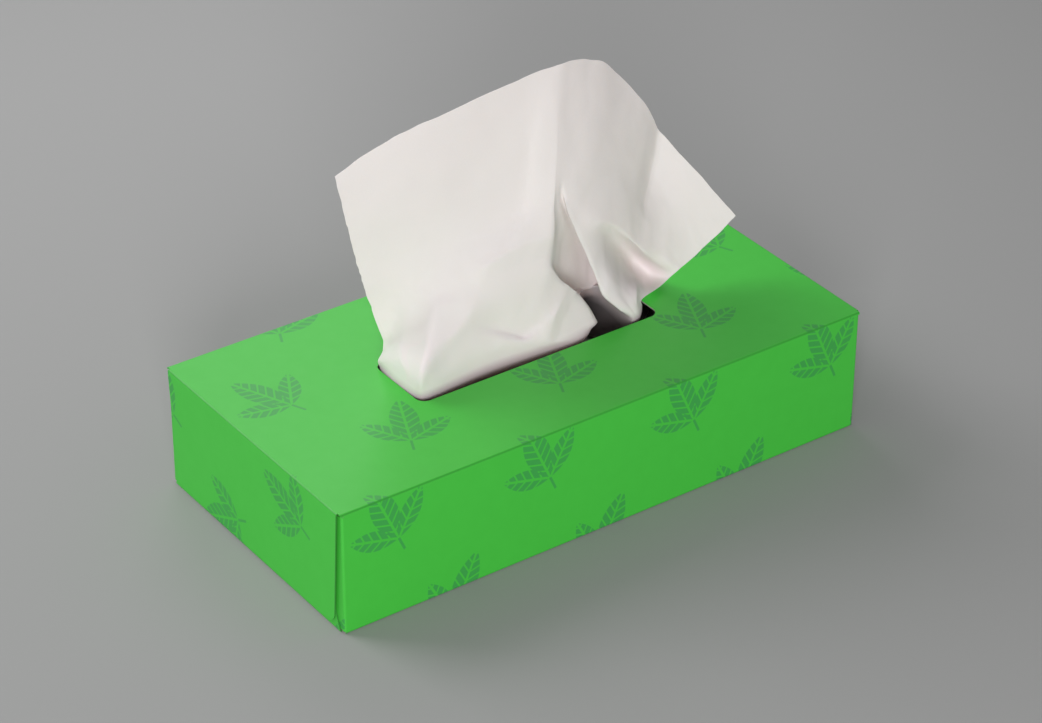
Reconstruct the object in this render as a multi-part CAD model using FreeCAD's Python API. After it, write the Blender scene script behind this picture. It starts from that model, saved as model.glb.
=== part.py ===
import FreeCAD, Part
import math
import os

# A flat tissue box with one tissue pulled half out, in millimetres.
# The carton stands on its bottom panel. The origin is the middle of that panel's underside,
# X runs along the length, Y from the front long side to the back one, and Z is up.

V = FreeCAD.Vector

# The closed carton, outside
length = 230.0
width = 115.0
height = 50.0

# The folding board, its creased folds, and the flattened glue between two layers of board
board = 0.45
fold_radius = 0.9
glue = 0.12

# The slot in the top panel, in the middle of it
slot_length = 106.0
slot_width = 31.0
slot_corner = 4.0

# Outer end flap, folded down from the top panel: it tapers, and its lower corners are round
outer_flap_inset = 1.0
outer_flap_taper = 3.0
outer_flap_corner = 5.0
outer_flap_low = 2.0

# Bottom end flap, folded up behind the outer one, with cut-away corners beside its fold
bottom_flap_inset = 0.8
bottom_flap_relief = 3.3
bottom_flap_relief_height = 9.3
bottom_flap_height = 39.0

# Dust flaps, folded in from the two long sides behind the bottom flap
dust_flap_reach = 42.0
dust_flap_taper = 6.0

# Glue lap, folded up from the bottom panel inside the back panel
lap_height = 14.0
lap_end_gap = 1.5
lap_end_slant = 8.0
cut_gap = 0.2
raw_edge = 0.3

# Glue strips: two across each end between the flaps, and one along the lap
end_glue_length = 60.0
end_glue_width = 4.0
end_glue_low = 14.0
end_glue_high = 28.0
dust_glue_length = 20.0
lap_glue_length = 190.0
lap_glue_width = 6.0

# The stack of folded tissues that is left inside: the room that it leaves at the carton's ends, along
# its long sides and under its top panel
stack_end_room = 9.4
stack_side_room = 4.5
stack_head_room = 18.1
stack_fold_round = 2.0

# The tissue that is pulled half out
tissue = 0.3
slot_gap = 0.4

# Its tail goes down through the slot, bends, and lies on the stack with one fold near the back edge:
# how far each of these places is below the top panel, behind the slot, above the stack or off its edges
under_slot = 6.5
under_slot_back = 4.5
tail_bend_back = 9.0
tail_bend_height = 2.5
tail_back = 16.0
tail_return_back = 20.0
stack_gap = 0.3
tail_fold_rise = 1.3
tail_side_room = 11.0
tail_end_room = 4.5

# Each column of the pulled tissue starts at a place on the slot's rim, in shares of the half slot.
# Its points are steps from that place at the level of the top panel, listed from the tissue's free
# edge down to the rim. The columns go along the tissue from its left side edge to its right one:
# up the slot's left end, along its front edge, back into a pleat and forward again to the neck.
tissue_step = 1.0
tissue_columns = [
    # left side edge
    (-0.96, 0.83, [(-21.5, -5.5, 87.5), (-18.5, -5.5, 72.5), (-15, -4.5, 58), (-11.5, -4, 44), (-8.5, -3.5, 34),
                   (-5.5, -3, 25.5), (-3.5, -3, 17.5), (0, -2.5, 8.5), (-2.5, 2, 2), (0, 0, -0.3)]),
    # the broad left panel, over the slot's left end
    (-0.99, 0.33, [(-5.5, -1, 96.5), (-4.5, -1, 79), (-2.5, 0, 62.5), (-0.5, 1, 48), (1, 1.5, 36.5),
                   (2, 2, 28.5), (3, 2, 20.5), (3, 2, 11.5), (2, 2, 5.5), (0, 0, 0)]),
    (-0.99, -0.33, [(12, 5, 101.5), (11.5, 6, 83), (11, 7, 66), (10, 7.5, 50.5), (9, 7, 38.5),
                    (8, 6, 31), (6.5, 5, 23.5), (4.5, 3.5, 14.5), (2, 2, 7.5), (0, 0, 0)]),
    (-0.98, -0.81, [(32.5, 9.5, 106.5), (30, 10.5, 87), (27, 11.5, 69.5), (22.5, 11.5, 54), (17.5, 9.5, 41.5),
                    (14, 7.5, 34), (11, 6, 27), (6, 3.5, 16.5), (1.5, 1, 8.5), (0, 0, 0)]),
    # the long crease that rises from the slot's front left corner
    (-0.94, -0.98, [(51, 11, 107.5), (51.5, 11, 93.5), (50, 11, 74), (47, 10, 56), (30.5, 7, 41.5),
                    (27, 5.5, 35.5), (23, 4.5, 29.5), (16.5, 2.5, 22.5), (8, 0.5, 12), (0, 0, 0)]),
    # the strip between the long crease and the ridge, over the slot's front edge
    (-0.46, -0.78, [(32.5, 8, 109), (32, 8, 95.5), (31, 7.5, 75), (27.5, 6.5, 56.5), (19.5, 4, 46),
                    (15, 2, 39), (11.5, 0.5, 31), (7, -2, 17.5), (2, -3.5, 10.5), (0, 0, 0)]),
    # the ridge on the left of the pocket
    (-0.08, -0.86, [(18.5, 9, 109.5), (17, 8.5, 97), (17, 7.5, 78), (14.5, 6, 58), (12.5, 4, 44.5),
                    (11, 3, 38.5), (9, 2, 33.5), (-3, -2, 11), (-7, -3.5, 7), (0, 0, 0)]),
    # the tuck under the pocket, where the tissue dips behind the front flap and comes up over it
    (0.23, -0.93, [(5, 10.5, 109.5), (3.5, 10, 96), (3, 9, 77), (1.5, 9, 57), (5.5, 12, 38),
                   (4, 16, 10), (2, 5.5, 24), (-11, -1, 5.5), (-10.5, -2.5, 4.5), (0, 0, 0)]),
    (0.39, -0.97, [(-1, 11.5, 109), (-2, 11, 95), (-4, 10, 76.5), (-6, 10, 56.5), (0.5, 14, 35),
                   (1.5, 18.5, 7), (-1.5, 7.5, 19), (-10.5, 4, 11), (-12.5, -0.5, 5), (0, 0, 0)]),
    # the front flap's right edge
    (0.58, -0.63, [(-8.5, 7, 108.5), (-9.5, 6.5, 94), (-12, 5.5, 75.5), (-15, 5, 57), (-6.5, 10.5, 32),
                   (-2.5, 15.5, 5), (-6.5, 4, 13.5), (-4, 2.5, 8), (-1.5, 1, 2.5), (0, 0, 0)]),
    # the pocket's wall, which goes down into the slot along its back edge
    (0.61, 0.96, [(-7, -16, 107.5), (-8.5, -17, 93), (-11.5, -18, 75), (-16, -19, 56.5), (-4, -12, 28),
                  (1.5, -9.5, 5.5), (-1, -3, 3), (-1, -1, 0.5), (-0.5, 0, -1.5), (0, 0, -3.5)]),
    (0.94, 0.96, [(-20, -14.5, 105.5), (-23, -16.5, 92), (-27, -18, 74), (-32.5, -19, 56), (-14.5, -11, 23),
                  (-8.5, -9, 6.5), (-4.5, -3, 3), (-1.5, -1, 0.5), (-0.5, 0, -1.5), (0, 0, -3.5)]),
    # the left edge of the right-hand lobe, which ends in the neck at the slot's front edge
    (0.80, -0.93, [(-8.5, 15.5, 103.5), (-11.5, 13, 90.5), (-17, 11, 73), (-24.5, 9, 56.5), (-19, 6, 34.5),
                   (-16.5, 4.5, 25), (-13, 3.5, 16.5), (-11, 2, 12.5), (-6.5, 0.5, 8), (0, 0, 0.5)]),
    # the lobe
    (0.83, -0.97, [(-2, 18.5, 98.5), (-4.5, 15.5, 84.5), (-9.5, 11.5, 68), (-16, 7.5, 52.5), (-15, 5.5, 38),
                   (-13, 4.5, 27), (-10.5, 3, 18), (-8, 1.5, 12), (-5.5, 0.5, 7.5), (0, 0, 0.5)]),
    (0.85, -0.95, [(10.5, 22.5, 83.5), (9.5, 20.5, 71.5), (6, 17.5, 58.5), (-1.5, 12.5, 46.5), (-4.5, 11, 33),
                   (-7, 6.5, 23.5), (-7.5, 4, 16), (-7, 2, 10.5), (-5, 0.5, 6), (0, 0, 0.5)]),
    (0.87, -0.91, [(19, 23, 71.5), (17.5, 21.5, 62), (13, 19.5, 50), (5, 15, 38.5), (0, 11, 26),
                   (-2.5, 7, 19.5), (-3.5, 5, 13.5), (-5, 2, 9.5), (-4.5, 0.5, 5.5), (0, 0, 0.5)]),
    # the valley between the lobe and its hanging corner
    (0.89, -0.86, [(25.5, 25, 58), (24.5, 25, 51.5), (20.5, 24, 40.5), (14, 21, 28), (8.5, 15, 17),
                   (3.5, 10, 14.5), (0, 7, 10.5), (-3.5, 3, 8), (-4, 1, 4.5), (0, 0, 0.5)]),
    # the hanging corner, and the right side edge
    (0.93, -0.73, [(34.5, 14, 41.5), (31.5, 14, 35), (26.5, 13.5, 27), (19, 11, 18), (12, 9, 9.5),
                   (7.5, 7, 8), (3.5, 5, 7), (-1.5, 2, 6), (-4, 0, 4.5), (0, 0, 0.5)]),
    (0.97, -0.53, [(44.5, 2, 23), (38.5, 3, 18), (31.5, 4, 13), (24, 4, 9), (17.5, 4, 6),
                   (13, 3.5, 4.5), (8, 2.5, 3.5), (0.5, 1, 3.5), (-2, -0.5, 2.5), (0, 0, 0.5)]),
]

# The columns along which the tissue has a sharp crease: the long crease, the ridge, the front flap's
# right edge, the left edge of the lobe and the valley. It is built of flat facets, a few to a step.
tissue_creases = (4, 6, 9, 12, 16)
facets_per_step = 2

# Layers at the ends and at the lap, from the outside in
layer = board + glue
end_outer = length / 2
end_bottom = end_outer - layer
end_dust = end_bottom - layer
side = width / 2
lap_side = side - layer
stack_half_x = end_dust - board - stack_end_room
stack_half_y = lap_side - board - stack_side_room
stack_top = height - board - stack_head_room

X = V(1, 0, 0)
Y = V(0, 1, 0)
Z = V(0, 0, 1)


def block(low, high):
    """A box between its lowest and its highest corner."""
    size = high - low
    return Part.makeBox(size.x, size.y, size.z, low)


def outline(corners):
    """A closed wire through corners, each a point and a radius, with an arc where the radius isn't 0."""
    stops = []
    count = len(corners)
    for place in range(count):
        point, radius = corners[place]
        if radius == 0:
            stops.append((point, None, point))
            continue
        to_last = (corners[place - 1][0] - point).normalize()
        to_next = (corners[(place + 1) % count][0] - point).normalize()
        half_angle = to_last.getAngle(to_next) / 2
        setback = radius / math.tan(half_angle)
        inward = (to_last + to_next).normalize()
        middle = point + inward * (radius / math.sin(half_angle) - radius)
        stops.append((point + to_last * setback, middle, point + to_next * setback))
    edges = []
    for place in range(count):
        start, middle, end = stops[place]
        if middle is not None:
            edges.append(Part.Arc(start, middle, end).toShape())
        edges.append(Part.LineSegment(end, stops[(place + 1) % count][0]).toShape())
    return Part.Wire(edges)


def flap(corners, through):
    """A flat flap of board: a face inside corners, as deep as the vector through."""
    return Part.Face(outline(corners)).extrude(through)


def fold(centre, out_a, out_b, run):
    """A creased fold: a quarter of a ring about centre, from side out_a to side out_b, as long as run."""
    between = (out_a + out_b).normalize()
    inner = fold_radius - board
    outside = Part.Arc(centre + out_a * fold_radius, centre + between * fold_radius, centre + out_b * fold_radius)
    inside = Part.Arc(centre + out_b * inner, centre + between * inner, centre + out_a * inner)
    edges = [
        outside.toShape(),
        Part.LineSegment(centre + out_b * fold_radius, centre + out_b * inner).toShape(),
        inside.toShape(),
        Part.LineSegment(centre + out_a * inner, centre + out_a * fold_radius).toShape(),
    ]
    return Part.Face(Part.Wire(edges)).extrude(run)


def slot_cutter():
    """What the die cuts out of the top panel, deeper than the board."""
    half_x = slot_length / 2
    half_y = slot_width / 2
    low = height - 2 * board
    corners = [
        (V(-half_x, -half_y, low), slot_corner),
        (V(half_x, -half_y, low), slot_corner),
        (V(half_x, half_y, low), slot_corner),
        (V(-half_x, half_y, low), slot_corner),
    ]
    return flap(corners, Z * (3 * board))


def long_panels():
    """The top, front, bottom and back panels, the glue lap, and the folds that join them."""
    flat_top = end_outer - fold_radius
    flat_bottom = end_bottom - fold_radius
    flat_side = end_dust - fold_radius
    edge = side - fold_radius
    lap_edge = lap_side - fold_radius
    lap_half = end_dust - board - lap_end_gap
    low = fold_radius
    high = height - fold_radius
    top = block(V(-flat_top, -edge, height - board), V(flat_top, edge, height))
    front = block(V(-flat_side, -side, low), V(flat_side, -side + board, high))
    back = block(V(-flat_side, side - board, raw_edge), V(flat_side, side, high))
    bottom = block(V(-flat_bottom, -edge, 0), V(flat_bottom, lap_edge, board))
    lap = flap(
        [
            (V(-lap_half, lap_side, low), 0),
            (V(lap_half, lap_side, low), 0),
            (V(lap_half - lap_end_slant, lap_side, lap_height), 0),
            (V(-lap_half + lap_end_slant, lap_side, lap_height), 0),
        ],
        Y * -board,
    )
    folds = [
        fold(V(-flat_top, -edge, high), Y * -1, Z, X * (2 * flat_top)),
        fold(V(-flat_top, edge, high), Y, Z, X * (2 * flat_top)),
        fold(V(-flat_bottom, -edge, low), Y * -1, Z * -1, X * (2 * flat_bottom)),
        fold(V(-lap_half, lap_edge, low), Y, Z * -1, X * (2 * lap_half)),
    ]
    return [top.cut(slot_cutter()), front, back, bottom, lap] + folds


def left_end_flaps():
    """The four flaps that close the left end, with their folds. The right end is their mirror image."""
    low = fold_radius
    high = height - fold_radius
    outer_half = side - fold_radius - outer_flap_inset
    tip_half = outer_half - outer_flap_taper
    bottom_half = lap_side - fold_radius - bottom_flap_inset
    narrow_half = bottom_half - bottom_flap_relief
    outer = flap(
        [
            (V(-end_outer, -outer_half, high), 0),
            (V(-end_outer, -tip_half, outer_flap_low), outer_flap_corner),
            (V(-end_outer, tip_half, outer_flap_low), outer_flap_corner),
            (V(-end_outer, outer_half, high), 0),
        ],
        X * board,
    )
    bottom = flap(
        [
            (V(-end_bottom, -bottom_half, low), 0),
            (V(-end_bottom, -narrow_half, bottom_flap_relief_height), 0),
            (V(-end_bottom, -narrow_half, bottom_flap_height), outer_flap_corner),
            (V(-end_bottom, narrow_half, bottom_flap_height), outer_flap_corner),
            (V(-end_bottom, narrow_half, bottom_flap_relief_height), 0),
            (V(-end_bottom, bottom_half, low), 0),
        ],
        X * board,
    )
    pieces = [
        outer,
        fold(V(fold_radius - end_outer, -outer_half, high), X * -1, Z, Y * (2 * outer_half)),
        bottom,
        fold(V(fold_radius - end_bottom, -bottom_half, low), X * -1, Z * -1, Y * (2 * bottom_half)),
    ]
    dust_low = low + cut_gap
    dust_high = high - cut_gap
    for way in (-1, 1):
        root = way * (side - fold_radius)
        tip = root - way * dust_flap_reach
        pieces.append(
            flap(
                [
                    (V(-end_dust, root, dust_low), 0),
                    (V(-end_dust, tip, dust_low + dust_flap_taper), 0),
                    (V(-end_dust, tip, dust_high - dust_flap_taper), 0),
                    (V(-end_dust, root, dust_high), 0),
                ],
                X * board,
            )
        )
        centre = V(fold_radius - end_dust, root, dust_low)
        pieces.append(fold(centre, X * -1, Y * way, Z * (dust_high - dust_low)))
    return pieces


def mirrored(pieces):
    """The same pieces at the right-hand end."""
    return [piece.mirror(V(0, 0, 0), X) for piece in pieces]


def make_carton():
    """One folded blank of board."""
    ends = left_end_flaps()
    pieces = long_panels() + ends + mirrored(ends)
    return pieces[0].multiFuse(pieces[1:]).removeSplitter()


def make_end_glue():
    """Hot glue that holds the end flaps: outer flap to bottom flap, and bottom flap to dust flaps."""
    strips = []
    for level in (end_glue_low, end_glue_high):
        face_x = -end_outer + board
        strips.append(
            block(
                V(face_x, -end_glue_length / 2, level),
                V(face_x + glue, end_glue_length / 2, level + end_glue_width),
            )
        )
        face_x = -end_bottom + board
        inner_end = side - fold_radius - dust_flap_reach + slot_corner
        for way in (-1, 1):
            ends_y = sorted((way * inner_end, way * (inner_end + dust_glue_length)))
            strips.append(
                block(
                    V(face_x, ends_y[0], level),
                    V(face_x + glue, ends_y[1], level + end_glue_width),
                )
            )
    return Part.makeCompound(strips + mirrored(strips))


def make_lap_glue():
    """The glue strip along the lap, inside the back panel."""
    low = (lap_height - lap_glue_width) / 2
    return block(V(-lap_glue_length / 2, lap_side, low), V(lap_glue_length / 2, side - board, low + lap_glue_width))


def make_stack():
    """The folded tissues that are left, as one block with round folds along its two long sides."""
    corners = [
        (V(-stack_half_x, -stack_half_y, board), stack_fold_round),
        (V(-stack_half_x, stack_half_y, board), stack_fold_round),
        (V(-stack_half_x, stack_half_y, stack_top), stack_fold_round),
        (V(-stack_half_x, -stack_half_y, stack_top), stack_fold_round),
    ]
    return flap(corners, X * (2 * stack_half_x))


def mix(a, b, share):
    """The number that lies at share of the way from a to b."""
    return a + (b - a) * share


def tissue_net():
    """Rows of points for every column of the pulled tissue, from its free edge to its end in the box."""
    half_x = slot_length / 2 - slot_gap
    half_y = slot_width / 2 - slot_gap
    last = len(tissue_columns) - 1
    tail_half = stack_half_x - tail_side_room
    tail_end = stack_half_y - tail_end_room
    on_stack = stack_top + stack_gap
    net = []
    for place, (share_x, share_y, steps) in enumerate(tissue_columns):
        rim = V(share_x * half_x, share_y * half_y, height)
        end_x = (2 * place / last - 1) * tail_half
        column = [rim + V(*step) * tissue_step for step in steps]
        column += [
            V(mix(rim.x, end_x, 0.05), rim.y + under_slot_back, height - under_slot),
            V(mix(rim.x, end_x, 0.2), tail_bend_back + 0.7 * rim.y, on_stack + tail_bend_height),
            V(mix(rim.x, end_x, 0.5), tail_back + 0.6 * rim.y, on_stack),
            V(end_x, tail_end, on_stack),
            V(end_x, tail_end + tail_fold_rise, on_stack + tail_fold_rise),
            V(0.97 * end_x, tail_return_back + 0.6 * rim.y, on_stack + 2 * tail_fold_rise),
        ]
        net.append(column)
    return net


def back_of(net):
    """The net's points moved through the tissue to its other side, square to the sheet at each point."""
    moved = []
    for i in range(len(net)):
        column = []
        for j in range(len(net[i])):
            across = net[min(i + 1, len(net) - 1)][j] - net[max(i - 1, 0)][j]
            down = net[i][min(j + 1, len(net[i]) - 1)] - net[i][max(j - 1, 0)]
            column.append(net[i][j] + across.cross(down).normalize() * tissue)
        moved.append(column)
    return moved


def knots(count, creases):
    """Knots of the second degree for count points, with a double knot at each creased point."""
    values = [0.0]
    mults = [3]
    for inner in range(count - 2):
        if inner + 1 in creases:
            mults[-1] += 1
        else:
            values.append(values[-1] + 1)
            mults.append(1)
    mults[-1] = 3
    return values, mults


def facet_points(net):
    """Points of a smooth surface that the net pulls towards it, at even steps both ways."""
    across, across_mults = knots(len(net), tissue_creases)
    down, down_mults = knots(len(net[0]), ())
    surface = Part.BSplineSurface()
    surface.buildFromPolesMultsKnots(net, across_mults, down_mults, across, down, False, False, 2, 2)
    steps_across = [i / facets_per_step for i in range(round(across[-1]) * facets_per_step + 1)]
    steps_down = [j / facets_per_step for j in range(round(down[-1]) * facets_per_step + 1)]
    return [[surface.value(u, v) for v in steps_down] for u in steps_across]


def two_facets(a, b, c, d):
    """Two flat triangles that fill the four-sided place between a, b, c and d."""
    return [Part.Face(Part.makePolygon(corners)) for corners in ([a, b, c, a], [a, c, d, a])]


def make_pulled_tissue():
    """The pulled tissue: facets on both of its sides, closed by its four edges."""
    front = facet_points(tissue_net())
    back = back_of(front)
    last = len(front) - 1
    end = len(front[0]) - 1
    facets = []
    for i in range(last):
        for j in range(end):
            for side_points in (front, back):
                facets += two_facets(
                    side_points[i][j], side_points[i + 1][j], side_points[i + 1][j + 1], side_points[i][j + 1]
                )
        for j in (0, end):
            facets += two_facets(front[i][j], front[i + 1][j], back[i + 1][j], back[i][j])
    for j in range(end):
        for i in (0, last):
            facets += two_facets(front[i][j], front[i][j + 1], back[i][j + 1], back[i][j])
    shell = Part.makeShell(facets)
    shell.sewShape()
    solid = Part.makeSolid(shell)
    if solid.Volume < 0:
        solid.reverse()
    return solid


os.makedirs("parts", exist_ok=True)
parts = {
    "carton": make_carton(),
    "end_flap_glue": make_end_glue(),
    "lap_glue": make_lap_glue(),
    "tissue_stack": make_stack(),
    "pulled_tissue": make_pulled_tissue(),
}
for name, shape in parts.items():
    shape.exportStep(os.path.join("parts", name + ".step"))
    print(name, len(shape.Solids), "solid(s)", shape.isValid(), round(shape.Volume), "mm3")
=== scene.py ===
import math

import bpy
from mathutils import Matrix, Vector, noise


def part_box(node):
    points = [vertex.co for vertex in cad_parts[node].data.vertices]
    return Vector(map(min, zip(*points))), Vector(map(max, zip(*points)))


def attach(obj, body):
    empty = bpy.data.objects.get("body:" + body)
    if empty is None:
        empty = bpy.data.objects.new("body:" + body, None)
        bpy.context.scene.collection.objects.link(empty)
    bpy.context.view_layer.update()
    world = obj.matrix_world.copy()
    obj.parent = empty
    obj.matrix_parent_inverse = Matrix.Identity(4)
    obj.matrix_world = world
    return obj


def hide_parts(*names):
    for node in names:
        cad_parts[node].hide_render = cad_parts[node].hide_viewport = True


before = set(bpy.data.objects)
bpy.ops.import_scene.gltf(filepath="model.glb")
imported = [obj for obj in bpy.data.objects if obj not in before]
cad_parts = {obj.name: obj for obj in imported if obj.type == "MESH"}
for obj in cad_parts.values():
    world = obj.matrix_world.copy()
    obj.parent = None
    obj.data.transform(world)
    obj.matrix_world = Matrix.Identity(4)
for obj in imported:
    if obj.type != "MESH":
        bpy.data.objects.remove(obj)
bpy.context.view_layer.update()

bpy.ops.object.select_all(action="DESELECT")

# The camera stands off the box's near left corner and looks down on it. Its place, turn and lens
# were found from the box's edges in a picture that is 1042 pixels wide.
picture_width = 1042
lens_in_pixels = 3409
film_width = 36.0
bpy.ops.object.camera_add(
    location=(-0.6124, -0.8583, 0.7081),
    rotation=(math.radians(57.65), math.radians(-0.2), math.radians(-35.44)),
)
camera = bpy.context.object
camera.name = "camera"
camera.data.sensor_width = film_width
camera.data.lens = lens_in_pixels * film_width / picture_width
bpy.context.scene.camera = camera


# The floor is a plain sheet of pale grey studio paper, far wider than the view, with a little unevenness
# in its colour. A material's sums are written with this class, which wraps one socket of a shader node.
class Paint:
    """A socket in a material. Arithmetic on it adds Math nodes, and node() adds any other node."""

    def __init__(self, tree, socket=None):
        self.tree = tree
        self.socket = socket

    def node(self, kind, settings=(), sockets=(), out=0):
        """A new node of that kind, with its settings made first, and then its sockets set or linked."""
        made = self.tree.nodes.new("ShaderNode" + kind)
        for name, value in dict(settings).items():
            setattr(made, name, value)
        for name, value in dict(sockets).items():
            if isinstance(value, Paint):
                self.tree.links.new(value.socket, made.inputs[name])
            else:
                made.inputs[name].default_value = value
        return Paint(self.tree, made.outputs[out]) if made.outputs else None

    def out(self, name):
        """Another output of the same node."""
        return Paint(self.tree, self.socket.node.outputs[name])

    def math(self, operation, *values):
        """A Math node on these values, kept between 0 and 1 where the operation's name ends in +."""
        settings = {"operation": operation.rstrip("+"), "use_clamp": operation.endswith("+")}
        return self.node("Math", settings, enumerate(values))

    def __add__(self, other):
        return self.math("ADD", self, other)

    def __sub__(self, other):
        return self.math("SUBTRACT", self, other)

    def __rsub__(self, other):
        return self.math("SUBTRACT", other, self)

    def __mul__(self, other):
        return self.math("MULTIPLY", self, other)

    def __truediv__(self, other):
        return self.math("DIVIDE", self, other)

    def __gt__(self, other):
        return self.math("GREATER_THAN", self, other)

    def __lt__(self, other):
        return self.math("LESS_THAN", self, other)

    def __abs__(self):
        return self.math("ABSOLUTE", self)

    def clamped(self):
        """The value kept between 0 and 1."""
        return self.math("ADD+", self, 0.0)

    def mix(self, under, over):
        """Colour under where this value is 0, and colour over where it is 1."""
        return self.node("Mix", {"data_type": "RGBA"}, {0: self, 6: under, 7: over}, 2)

    def parts(self):
        """The three numbers of a vector."""
        split = self.node("SeparateXYZ", (), {0: self})
        return split, split.out("Y"), split.out("Z")


def new_material(name):
    """An empty material, and a start for its nodes."""
    material = bpy.data.materials.new(name)
    material.use_nodes = True
    material.node_tree.nodes.clear()
    return material, Paint(material.node_tree)


def surface(start, **sockets):
    """A Principled surface with these sockets, as the material's output."""
    named = {name.replace("_", " "): value for name, value in sockets.items()}
    start.node("OutputMaterial", (), {"Surface": start.node("BsdfPrincipled", (), named)})


floor_size = 8.0
floor_grey = (0.33, 0.33, 0.33, 1)
floor_shade = (0.32, 0.32, 0.32, 1)
paper, start = new_material("studio_paper")
place = start.node("TexCoord", out="Object")
cloudy = start.node("TexNoise", (), {"Vector": place, "Scale": 3.0, "Detail": 4.0})
surface(start, Base_Color=cloudy.mix(floor_grey, floor_shade), Roughness=0.9)
bpy.ops.mesh.primitive_plane_add(size=floor_size, location=(0, 0, 0))
floor = bpy.context.object
floor.name = "floor"
floor.data.materials.append(paper)

# The light is soft from all round, as in a white tent. A wide soft box at the back left shades the floor
# in front and the right of the top panel, one off the near corner lights the front, and a small one
# behind the box gives the left of the top panel its sheen.
lamps = [
    ("left_lamp", (-0.65, 0.95, 0.93), 0.80, 11.4),
    ("corner_lamp", (-1.16, -1.60, 0.68), 0.62, 31.0),
    ("back_lamp", (0.12, 0.40, 0.37), 0.25, 0.45),
]
for name, spot, size, watts in lamps:
    towards = Vector((0, 0, 0.04)) - Vector(spot)
    turn = towards.to_track_quat("-Z", "Y").to_euler()
    bpy.ops.object.light_add(type="AREA", location=spot, rotation=turn)
    lamp = bpy.context.object
    lamp.name = name
    lamp.data.size = size
    lamp.data.energy = watts
tent_strength = 0.35
tent = bpy.data.worlds.new("tent")
tent.use_nodes = True
tent.node_tree.nodes.clear()
start = Paint(tent.node_tree)
glow = start.node("Background", (), {"Color": (1, 1, 1, 1), "Strength": tent_strength})
start.node("OutputWorld", (), {"Surface": glow})
bpy.context.scene.world = tent
bpy.context.scene.view_settings.view_transform = "Standard"

# The carton is one blank of coated board, printed green outside, die-cut, creased, folded and glued.
# Its print is laid out on the flat blank, so the sprigs run on over the folds from panel to panel.
carton_low, carton_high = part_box("carton")
half_length = carton_high.x
half_width = carton_high.y
carton_top = carton_high.z
flap_layers = 0.0014
skin = 0.00028
green = (0.052, 0.510, 0.045, 1)
green_shade = (0.047, 0.480, 0.040, 1)
sprig_green = (0.036, 0.340, 0.058, 1)
fold_shade_green = (0.022, 0.27, 0.020, 1)
edge_green = (0.030, 0.24, 0.028, 1)
bare_board = (0.33, 0.315, 0.285, 1)
bare_fibre = (0.25, 0.24, 0.215, 1)

sprig_pitch = 0.064
sprig_row = 0.043
sprig_tilt = math.radians(24)
leaf_base = -0.0125
leaves = [(90, 0.027, 0.0053), (38, 0.021, 0.0042), (142, 0.021, 0.0042)]
vein = 0.00045
side_vein_step = 0.0036
print_edge = 0.00012

board, start = new_material("printed_carton_board")
place = start.node("TexCoord", out="Object")
x, y, z = place.parts()
facing_x, facing_y, facing_z = place.out("Normal").parts()
side_x = start.math("SIGN", x)
side_y = start.math("SIGN", y)
drop = carton_top - z

# Which surfaces are the printed outside: the ends, the long sides, the top and the base.
on_end = (facing_x * side_x > 0.707) * (abs(x) > half_length - flap_layers)
on_side = (facing_y * side_y > 0.707) * (abs(y) > half_width - skin)
on_top = (facing_z > 0.7) * (z > carton_top - skin)
on_base = (facing_z < -0.7) * (z < skin)
printed = (on_end + on_side + on_top + on_base).clamped()

# Where each point lies on the flat blank, from the middle of the top panel.
along = x + on_end * (side_x * (drop + half_length) - x)
over_side = on_side * (side_y * (drop + half_width) - y)
over_base = on_base * (y * -2 - (2 * half_width + carton_top))
across = y + over_side + over_base

# Rows of sprigs, every other row half a step along and tilted the other way.
row = start.math("FLOOR", across / sprig_row)
odd = start.math("PINGPONG", row, 1.0)
stepped = (along + odd * (sprig_pitch / 2)) / sprig_pitch
in_step = (stepped - start.math("FLOOR", stepped) - 0.5) * sprig_pitch
in_row = (across / sprig_row - row - 0.5) * sprig_row
turned = in_step * (odd * 2 - 1)
sprig_x = turned * math.cos(sprig_tilt) - in_row * math.sin(sprig_tilt)
sprig_y = turned * math.sin(sprig_tilt) + in_row * math.cos(sprig_tilt) - leaf_base
stalk = (1 - (abs(sprig_x) - vein) / print_edge).clamped() * (sprig_y < 0) * (sprig_y > -0.006)
sprig = stalk
for degrees, length, width in leaves:
    angle = math.radians(degrees)
    up_leaf = sprig_x * math.cos(angle) + sprig_y * math.sin(angle)
    off_rib = abs(sprig_y * math.cos(angle) - sprig_x * math.sin(angle))
    share = (up_leaf / length).clamped()
    half_leaf = share * (1 - share) * (4 * width)
    to_vein = start.math("PINGPONG", up_leaf - off_rib * 0.8, side_vein_step / 2)
    leaf = ((half_leaf - off_rib) / print_edge).clamped()
    leaf = leaf * ((off_rib - vein) / print_edge).clamped() * ((to_vein - vein * 0.8) / print_edge).clamped()
    sprig = start.math("MAXIMUM", sprig, leaf)

# The ink is a little uneven. Along the folds of the top, a thin dark line of painted shade stands in for the
# shade line at the fold's edge. The cut edges of the flaps have taken up ink too, and only the inside is
# bare.
mottle = start.node("TexNoise", (), {"Vector": place, "Scale": 160.0, "Detail": 3.0})
inked = sprig.mix(mottle.mix(green, green_shade), sprig_green)
to_fold = start.math("MINIMUM", half_width - abs(y), half_length - abs(x))
from_corner = start.math("SQRT", to_fold * to_fold + drop * drop)
# painted shade: a thin darker line along the folds of the top
crest_shade = (1 - (from_corner - 0.0004) / 0.0003).clamped() * 0.8
inked = crest_shade.mix(inked, fold_shade_green)
fibres = start.node("TexNoise", (), {"Vector": place, "Scale": 1400.0, "Detail": 4.0})
in_flaps = abs(x) > half_length - flap_layers
raw = in_flaps.mix(fibres.mix(bare_board, bare_fibre), edge_green)
grain = start.node("TexNoise", (), {"Vector": place, "Scale": 700.0, "Detail": 5.0})
ripple = start.node("TexNoise", (), {"Vector": place, "Scale": 28.0, "Detail": 2.0})
relief = grain * 0.00002 + ripple * 0.00025
gloss = 0.82 - printed * 0.38 + mottle * 0.05
surface(
    start,
    Base_Color=printed.mix(raw, inked),
    Roughness=gloss,
    Normal=start.node("Bump", (), {"Strength": 0.5, "Distance": 1.0, "Height": relief}),
)
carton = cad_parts["carton"]
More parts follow.
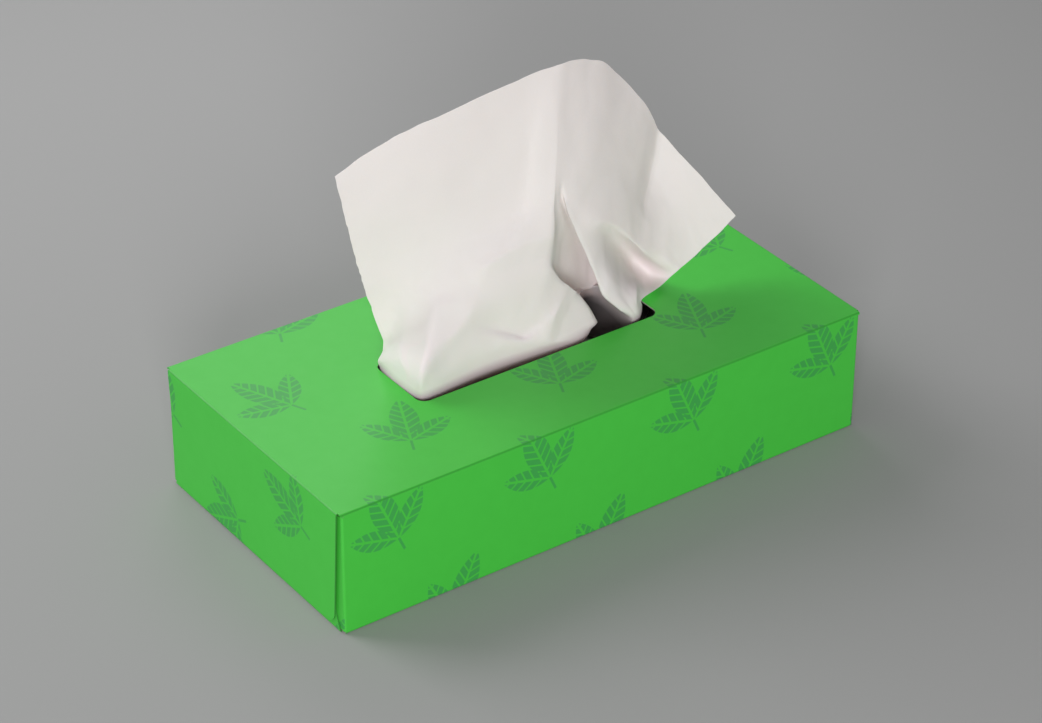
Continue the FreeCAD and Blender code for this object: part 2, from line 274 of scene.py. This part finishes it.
carton.data.materials.clear()
carton.data.materials.append(board)

# The end flaps and the lap are stuck with strips of hot glue, pressed flat between the layers of board.
# It is a cream, slightly cloudy resin.
glue_cream = (0.71, 0.60, 0.39, 1)
glue_cloud = (0.62, 0.51, 0.31, 1)
resin, start = new_material("hot_glue_resin")
place = start.node("TexCoord", out="Object")
cloud = start.node("TexNoise", (), {"Vector": place, "Scale": 500.0, "Detail": 3.0})
surface(
    start,
    Base_Color=cloud.mix(glue_cream, glue_cloud),
    Roughness=0.35,
    Normal=start.node("Bump", (), {"Strength": 0.4, "Distance": 0.0001, "Height": cloud}),
)
for name in ("end_flap_glue", "lap_glue"):
    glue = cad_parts[name]
    glue.data.materials.clear()
    glue.data.materials.append(resin)

# The stack is what is left of the tissues, each folded along its length and laid in the next one.
# It is built of folded leaves with round folds along the long sides, laid a little unevenly.
stack_low, stack_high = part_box("tissue_stack")
leaf_count = 24
leaf_rise = (stack_high.z - stack_low.z) / leaf_count
leaf_slip = 0.0005
bpy.ops.object.select_all(action="DESELECT")
bpy.ops.mesh.primitive_cube_add(size=1, location=(0, 0, stack_low.z + leaf_rise / 2))
leaf_pile = bpy.context.object
leaf_pile.name = "tissue_pile"
bpy.ops.object.mode_set(mode="EDIT")
bpy.ops.transform.resize(
    value=(stack_high.x * 2 - 2 * leaf_slip, stack_high.y * 2 - 2 * leaf_slip, leaf_rise * 0.98)
)
bpy.ops.mesh.select_mode(type="EDGE")
bpy.ops.mesh.select_all(action="DESELECT")
bpy.ops.object.mode_set(mode="OBJECT")
for edge in leaf_pile.data.edges:
    ends = [leaf_pile.data.vertices[i].co for i in edge.vertices]
    edge.select = abs(ends[0].x - ends[1].x) > stack_high.x
bpy.ops.object.mode_set(mode="EDIT")
bpy.ops.mesh.bevel(offset=leaf_rise * 0.46, segments=3)
bpy.ops.object.mode_set(mode="OBJECT")
pile = [leaf_pile]
for level in range(1, leaf_count):
    bpy.ops.object.select_all(action="DESELECT")
    leaf_pile.select_set(True)
    bpy.context.view_layer.objects.active = leaf_pile
    bpy.ops.object.duplicate()
    slip_x = leaf_slip * math.sin(2.4 * level)
    slip_y = leaf_slip * math.sin(4.1 * level)
    bpy.ops.transform.translate(value=(slip_x, slip_y, leaf_rise * level))
    pile.append(bpy.context.object)
for leaf_object in pile:
    leaf_object.select_set(True)
bpy.context.view_layer.objects.active = leaf_pile
bpy.ops.object.join()
bpy.ops.object.transform_apply(location=True, rotation=True, scale=True)
bpy.ops.object.shade_smooth_by_angle(angle=math.radians(40))

# Tissue is a slightly warm white, and its many folded edges show as fine lines along the stack's sides.
tissue_white = (0.79, 0.725, 0.715, 1)
tissue_dim = (0.75, 0.68, 0.67, 1)
ply = 0.00022
stacked, start = new_material("stacked_tissue")
place = start.node("TexCoord", out="Object")
height = place.parts()[2]
plies = start.math("PINGPONG", height, ply) / ply
fluff = start.node("TexNoise", (), {"Vector": place, "Scale": 1800.0, "Detail": 4.0})
surface(
    start,
    Base_Color=(plies * 0.6 + fluff * 0.4).mix(tissue_dim, tissue_white),
    Roughness=0.95,
    Normal=start.node("Bump", (), {"Strength": 0.6, "Distance": 0.00015, "Height": plies + fluff * 0.4}),
)
leaf_pile.data.materials.append(stacked)
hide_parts("tissue_stack")
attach(leaf_pile, "root")

# The tissue that is pulled half out is a two-ply sheet, 210 x 200 mm. It stands in the slot: up the
# slot's left end, along its front edge, back into a pleat over a pocket, and forward again in a neck.
# Each column has a place on the slot's rim, in shares of the half slot, and its points are given in
# millimetres from there and from the level of the top panel, from the free edge down to the rim.
mm = 0.001
slot_half_x = 52.6 * mm
slot_half_y = 15.1 * mm
columns = [
    # left side edge
    (-0.96, 0.83, [(-21.5, -5.5, 87.5), (-18.5, -5.5, 72.5), (-15, -4.5, 58), (-13, -4, 51),
                   (-11.5, -4, 44), (-10, -4, 39), (-8.5, -3.5, 34), (-5.5, -3, 25.5),
                   (-3.5, -3, 17.5), (0, -2.5, 8.5), (-2.5, 2, 2), (0, 0, -0.3)]),
    # the broad left panel, over the slot's left end
    (-0.99, 0.33, [(-5.5, -1, 96.5), (-4.5, -1, 79), (-2.5, 0, 62.5), (-1.5, 0.5, 55),
                   (-0.5, 1, 48), (0, 1, 42), (1, 1.5, 36.5), (2, 2, 28.5),
                   (3, 2, 21), (2, 0, 13), (-1.5, -3.5, 10), (0, 0, 0)]),
    (-0.99, -0.33, [(12, 5, 101.5), (11.5, 6, 83), (11, 7, 66), (10.5, 7, 58),
                    (10, 7.5, 50.5), (9.5, 7, 44.5), (9, 7, 38.5), (8, 6, 31),
                    (6.5, 4.5, 24), (3.5, 1.5, 16), (-1.5, -3.5, 12), (0, 0, 0)]),
    (-0.98, -0.81, [(32.5, 9.5, 106.5), (30, 11, 86.5), (27.5, 12, 69), (25, 12, 61.5),
                    (22.5, 11.5, 54), (20, 10.5, 48), (17.5, 9.5, 41.5), (14, 7.5, 34),
                    (10.5, 5, 28), (4.5, 1, 18.5), (-2, -4, 12), (0, 0, 0)]),
    # the long crease that rises from the slot's front left corner
    (-0.94, -0.98, [(50.5, 11, 109), (52.5, 12, 92.5), (51, 12, 73), (49.5, 11.5, 64),
                    (48, 11, 55), (39, 8, 49), (29.5, 5.5, 42.5), (27, 5.5, 35.5),
                    (23, 4.5, 29.5), (17, 3, 23.5), (8.5, 1.5, 11), (0, 0, 0)]),
    # the strip between the long crease and the ridge, over the slot's front edge
    (-0.46, -0.78, [(32.5, 8, 109.5), (31.5, 7, 96), (30.5, 6.5, 75.5), (29, 6, 66),
                    (27, 5.5, 57), (22.5, 4, 52), (18, 2, 47), (15, 2, 39),
                    (11.5, 0.5, 31), (9, 2, 15), (5.5, -1, 14), (0, 1.5, 0)]),
    # the ridge on the left of the pocket
    (-0.08, -0.86, [(18.5, 9, 110), (17, 8, 97.4), (16.7, 7, 78.4), (15.4, 6, 70),
                    (14.2, 5.1, 61.9), (12.9, 3.8, 53.1), (12, 2.5, 45.5), (11, 3, 38.5),
                    (9.5, 2, 34), (-1, 1.5, 8.5), (-3, -1, 8), (0, 2, 0)]),
    # the front flap, and the pocket's wall above it
    (0.23, -0.93, [(5, 10.5, 109.5), (3.5, 9.6, 96.1), (2, 8.2, 77.7), (0, 7.1, 69.6),
                   (-1.7, 6.2, 61.7), (-1.5, 6.2, 51.4), (2, 9.5, 39), (6.5, 16, 11.5),
                   (4, 5, 21.5), (-5, 1, 14.5), (-9.5, 0, 3.5), (0, 2, 0)]),
    (0.39, -0.97, [(-0.5, 12, 109), (-2.5, 10.8, 94.9), (-4.9, 9, 77), (-7.5, 7.8, 69.2),
                   (-9.8, 6.8, 61.6), (-7.3, 8.2, 49.5), (0.5, 14.5, 33), (5, 19.5, 7.5),
                   (-0.5, 6, 17.5), (-8.5, 3.5, 10), (-11, 2, 3), (0, 1, 0)]),
    # the front flap's right edge
    (0.58, -0.63, [(-7.5, 7.5, 108), (-9.7, 6.3, 93.6), (-13.1, 4.1, 76.2), (-16.3, 2.8, 68.6),
                   (-19.5, 1.7, 61.4), (-14.9, 3.9, 47.9), (-2.5, 13.5, 28), (2, 16, 6.5),
                   (-8.5, 2, 15), (-4.5, 0.5, 8.5), (-2, -1, 2.5), (0, 0, 0)]),
    # the pocket's wall, which goes down into the slot along its back edge
    (0.61, 0.96, [(-5.5, -15.5, 107), (-8.5, -17.1, 92.2), (-12.9, -19.7, 75.4), (-16.7, -21.1, 68.1),
                  (-20.7, -22.3, 61.2), (-11, -16, 43.5), (5, -6, 21.5), (10.5, -3.5, 2),
                  (-1, -3, 3), (-1, -1, 0.5), (-0.5, 0, -1.5), (0, 0, -3.5)]),
    (0.94, 0.96, [(-19, -14, 105), (-22.8, -16.5, 90.8), (-28.1, -19.4, 74.4), (-32.6, -21, 67.4),
                  (-37.7, -22.3, 61.1), (-26, -16.5, 43), (-6, -6.5, 18.5), (0.5, -4, -1),
                  (-4.5, -3, 3), (-1.5, -1, 0.5), (-0.5, 0, -1.5), (0, 0, -3.5)]),
    # the left edge of the right-hand lobe, which ends in the neck at the slot's front edge
    (0.8, -0.93, [(-6.5, 16, 102.5), (-11.9, 12.8, 89.1), (-17.8, 9.5, 73.1), (-23.1, 7.7, 66.4),
                  (-29.8, 6.3, 60.8), (-25.6, 5.7, 49.7), (-20, 5.5, 36), (-16.5, 4, 26),
                  (-13.5, 3, 16.5), (-12, 1.5, 12.5), (-8, 0, 8.5), (0, 0, 0.5)]),
    # the lobe, with a hollow under it
    (0.83, -0.97, [(-2, 18.5, 98.5), (-5.6, 15.1, 85.3), (-11.4, 11, 69.5), (-15.9, 9, 62.4),
                   (-20, 7.4, 55.5), (-17.9, 6.6, 49.8), (-16, 5.5, 44.5), (-12, 8.5, 35.5),
                   (-12, 4, 22.5), (-9.5, 2, 14.5), (-6, 0.5, 8.5), (0, 0, 0.5)]),
    (0.85, -0.95, [(10.5, 22.5, 83.5), (9.5, 20.5, 71.5), (6, 17.5, 58.5), (0, 14, 54),
                   (-5.5, 10, 49.5), (-6, 8.5, 44), (-9, 7.5, 40.5), (-3.5, 15.5, 28),
                   (-7, 7.5, 20), (-7, 3.5, 13.5), (-5.5, 0.5, 7), (0, 0, 0.5)]),
    (0.87, -0.91, [(19, 23, 71.5), (17.5, 21.5, 62), (13, 19.5, 50), (8, 16, 45.5),
                   (2.5, 12, 41), (1.5, 10.5, 35.5), (-2.5, 9, 33), (6, 21.5, 18),
                   (-0.5, 11, 14), (-4, 3.5, 12), (-5, -1, 6), (0, 0, 0.5)]),
    # the valley between the lobe and its hanging corner
    (0.89, -0.86, [(25.5, 25, 58), (24.5, 25, 51.5), (20.5, 24, 40.5), (15, 19.5, 36),
                   (10.5, 15.5, 31.5), (8.5, 12.5, 26.5), (4, 9.5, 24), (14, 25, 9),
                   (7.5, 15, 6.5), (-1.5, 2, 11.5), (-4, -1.5, 5), (0, 0, 0.5)]),
    # the hanging corner, and the right side edge
    (0.93, -0.73, [(34.5, 14, 41.5), (31.5, 14, 35), (26.5, 13.5, 27), (23, 12, 22.5),
                   (18, 10, 19), (15.5, 9, 15), (11.5, 8, 13), (18.5, 21, 1),
                   (12.5, 14, 0.5), (0, 2.5, 7), (-4, -1.5, 5), (0, 0, 0.5)]),
    (0.97, -0.53, [(44.5, 2, 23), (38.5, 3, 18), (31.5, 4, 13), (28, 4, 11),
                   (24, 4, 9), (21, 4, 8), (18.5, 3.5, 7.5), (16, 6, 3),
                   (10.5, 4.5, 2), (0, 0, 4), (-3.5, -2.5, 4.5), (0, 0, 0.5)]),
]

# Below the rim the sheet goes down through the slot, bends back on the stack and lies there, folded once.
# Each line is a step of every column: its share of the rim point's x, its share of the column's x on the
# flat tail, its share of the rim point's y, how far back it lies, and its level.
tail_half = stack_high.x - 11.0 * mm
tail_end = stack_high.y - 4.5 * mm
tail_level = stack_high.z + 0.45 * mm
tail_turn = 1.3 * mm
tail = [
    (0.95, 0.05, 1.0, 4.5 * mm, carton_top - 6.5 * mm),
    (0.8, 0.2, 0.7, 9.0 * mm, tail_level + 2.5 * mm),
    (0.5, 0.5, 0.6, 16.0 * mm, tail_level),
    (0.0, 1.0, 0.0, tail_end, tail_level),
    (0.0, 1.0, 0.0, tail_end + tail_turn, tail_level + tail_turn),
    (0.0, 0.97, 0.6, 20.0 * mm, tail_level + 2 * tail_turn),
]
last_column = len(columns) - 1
net = []
for place_along, (share_x, share_y, steps) in enumerate(columns):
    rim = Vector((share_x * slot_half_x, share_y * slot_half_y, carton_top))
    end_x = (2 * place_along / last_column - 1) * tail_half
    line = [rim + Vector(step) * mm for step in steps]
    for of_rim_x, of_end_x, of_rim_y, back, level in tail:
        line.append(Vector((rim.x * of_rim_x + end_x * of_end_x, rim.y * of_rim_y + back, level)))
    net.append(line)
row_count = len(net[0])

bpy.ops.object.select_all(action="DESELECT")
bpy.ops.mesh.primitive_grid_add(x_subdivisions=last_column, y_subdivisions=row_count - 1, size=1)
tissue = bpy.context.object
tissue.name = "pulled_sheet"
mesh = tissue.data
for vertex in mesh.vertices:
    row_here, column_here = divmod(vertex.index, last_column + 1)
    vertex.co = net[column_here][row_here]

# The sharp folds, each along a stretch of one column or one row of the net: first and last column,
# first and last row, and how sharp it is.
sharp_folds = [
    (3, 3, 7, 11, 0.45),     # the crease low on the broad left panel
    (4, 4, 1, 11, 0.6),      # the long crease
    (4, 6, 6, 6, 0.7),       # the crease that crosses from the long crease to the ridge
    (4, 7, 9, 9, 0.6),       # the fold along the top of the band over the slot's front edge
    (6, 6, 1, 11, 0.8),      # the ridge
    (6, 9, 8, 8, 0.85),      # the front flap's top edge
    (7, 8, 8, 10, 0.6),      # the narrow crease on the front flap
    (9, 9, 7, 11, 0.85),     # the front flap's right edge
    (7, 11, 7, 7, 0.5),      # the lower edge of the pocket's wall
    (12, 12, 4, 11, 0.85),   # the lobe's left edge
    (13, 17, 6, 6, 0.7),     # the edge that hangs over the hollow under the lobe
    (16, 16, 7, 10, 0.6),    # the right side of the neck
    (16, 16, 0, 4, 0.7),     # the valley beside the hanging corner
]
bpy.ops.object.mode_set(mode="EDIT")
bpy.ops.mesh.select_mode(type="EDGE")
for first_column, end_column, first_row, end_row, sharpness in sharp_folds:
    bpy.ops.mesh.select_all(action="DESELECT")
    bpy.ops.object.mode_set(mode="OBJECT")
    for edge in mesh.edges:
        on_fold = True
        for i in edge.vertices:
            row_here, column_here = divmod(i, last_column + 1)
            in_columns = first_column <= column_here <= end_column
            in_rows = first_row <= row_here <= end_row
            on_fold = on_fold and in_columns and in_rows
        edge.select = on_fold
    bpy.ops.object.mode_set(mode="EDIT")
    bpy.ops.transform.edge_crease(value=sharpness)
bpy.ops.object.mode_set(mode="OBJECT")

smooth = tissue.modifiers.new("smooth", "SUBSURF")
smooth.levels = 3
smooth.render_levels = 3
smooth.boundary_smooth = "PRESERVE_CORNERS"
bpy.ops.object.modifier_apply(modifier="smooth")

# Soft handling creases: broad and fine waves all over the pulled half, and sharp little folds, stronger
# towards the slot. The free edge and the side edges are a little wavy. The hidden tail stays flat.
flat_rise = 1.5 * mm
full_rise = 10 * mm
low_reach = 60 * mm
at_edge = 0.004
fold_offset = Vector((3.1, 1.7, 0))
sheet_map = mesh.uv_layers[0].data
on_sheet = {}
for loop in mesh.loops:
    on_sheet[loop.vertex_index] = sheet_map[loop.index].uv.copy()
mesh.update()
normals = [vertex.normal.copy() for vertex in mesh.vertices]
for vertex in mesh.vertices:
    share_along, share_up = on_sheet[vertex.index]
    spot = vertex.co.copy()
    above = min(max((spot.z - carton_top - flat_rise) / full_rise, 0), 1)
    low_down = min(max(1 - (spot.z - carton_top) / low_reach, 0), 1)
    waves = noise.noise(spot * 40) * 0.6 + noise.noise(spot * 110) * 0.2
    nearest, second = noise.voronoi(spot * 70 + fold_offset)[0][:2]
    folds = (min(second - nearest, 0.35) - 0.2) * (0.3 + 0.8 * low_down)
    vertex.co += normals[vertex.index] * above * (waves + folds) * mm
    if share_up < at_edge:
        vertex.co.z += noise.noise(spot * 160) * 0.5 * mm
    if share_along < at_edge or share_along > 1 - at_edge:
        vertex.co.x += above * (noise.noise(spot * 150) * 0.5 + noise.noise(spot * 420) * 0.3) * mm

thicken = tissue.modifiers.new("thicken", "SOLIDIFY")
thicken.thickness = 0.22 * mm
thicken.offset = 0
bpy.ops.object.modifier_apply(modifier="thicken")
bpy.ops.object.shade_smooth_by_angle(angle=math.radians(60))

# The paper has fine crepe lines across it and a soft nap. Its outside is painted a little warmer low down, a
# painted counter-tint against the board's green light that falls on it, and its colour is painted darker
# into the slot, a painted shade where little light gets in.
# painted counter-tint: a warmer colour low on the front side, against the green light bounced from the board
painted_warm_tint = (0.79, 0.69, 0.70, 1)
# painted shade: the dark colour of the tissue in the slot
painted_slot_shade = (0.12, 0.105, 0.105, 1)
warm_reach = 0.050
shade_rise = 0.0035
shade_depth = 0.010
soft, start = new_material("soft_tissue")
sheet_x, sheet_y = start.node("TexCoord", out="UV").parts()[:2]
place = start.node("TexCoord", out="Object")
lines_across = start.node("CombineXYZ", (), {0: sheet_x * 60, 1: sheet_y * 900})
crepe = start.node("TexNoise", (), {"Vector": lines_across, "Scale": 1.0, "Detail": 3.0})
fluff = start.node("TexNoise", (), {"Vector": place, "Scale": 1500.0, "Detail": 4.0})
patch = start.node("TexNoise", (), {"Vector": place, "Scale": 60.0, "Detail": 3.0})
height = place.parts()[2]
facing_front = place.out("Normal").parts()[1] < 0
# where the painted counter-tint lies: within reach of the top panel, on the front side only
painted_tint_mask = (1 - (height - carton_top) / warm_reach).clamped() * facing_front
# painted shade: starts a little above the top panel and is full inside the box
slot_shade_mask = ((carton_top - height + shade_rise) / shade_depth).clamped()
paper_and_counter_tint = painted_tint_mask.mix((patch * 0.5 + fluff * 0.5).mix(tissue_dim, tissue_white), painted_warm_tint)
nap = crepe * 0.7 + fluff * 0.5
surface(
    start,
    Base_Color=slot_shade_mask.mix(paper_and_counter_tint, painted_slot_shade),
    Roughness=0.95,
    Subsurface_Weight=0.35,
    Subsurface_Radius=(1.0, 0.85, 0.75),
    Subsurface_Scale=0.0012,
    Normal=start.node("Bump", (), {"Strength": 0.45, "Distance": 0.0001, "Height": nap}),
)
tissue.data.materials.append(soft)
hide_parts("pulled_tissue")
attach(tissue, "root")
